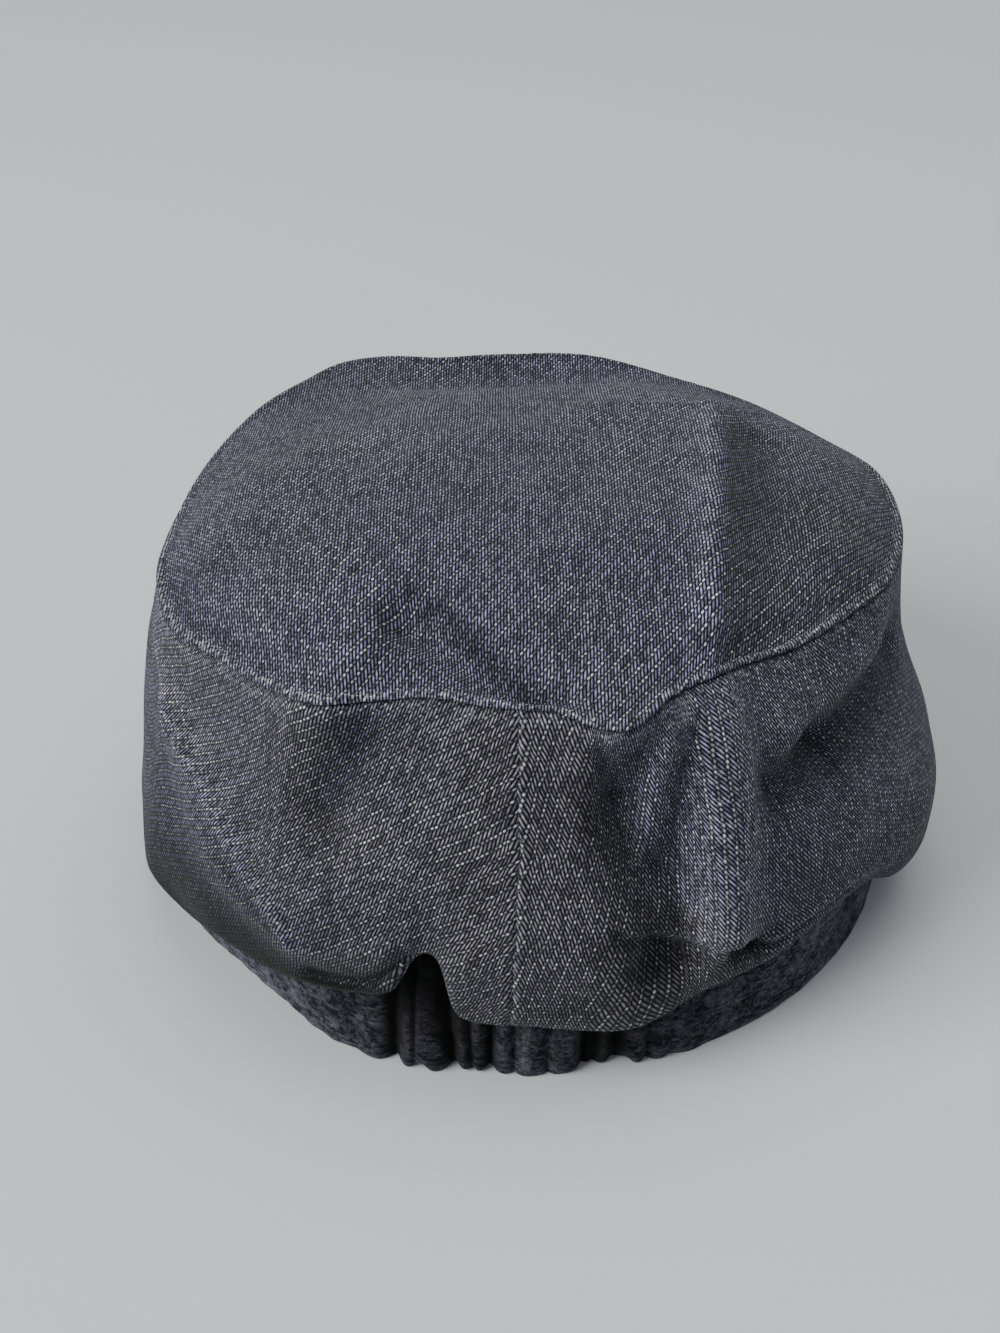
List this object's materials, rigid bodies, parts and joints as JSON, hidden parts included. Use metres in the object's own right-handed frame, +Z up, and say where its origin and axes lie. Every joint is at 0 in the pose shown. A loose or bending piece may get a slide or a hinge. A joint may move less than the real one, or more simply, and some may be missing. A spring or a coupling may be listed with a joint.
{
  "type": "military cap",
  "caption": "Soft military-style cap in denim twill: dented flat top, side panel slouching over a gathered headband, plain curved peak.",
  "frame": {"origin": "Middle of the cap's outline seen from above, on the surface the cap rests on", "axes": "+Z up; +Y towards the peak at the front, so the gathered back faces -Y; +X to the right seen from behind"},
  "size_m": [0.1938, 0.2418, 0.1065],
  "materials": {
    "headband": "dark indigo twill seen on its plainer side",
    "side_panel": "washed blue-grey denim twill",
    "tip": "washed blue-grey denim twill",
    "peak": "denim twill over a stiff board"
  },
  "bodies": {
    "root": {"headband": "headband", "side_panel": "side_panel", "tip": "tip", "peak": "peak"}
  },
  "joints": []
}
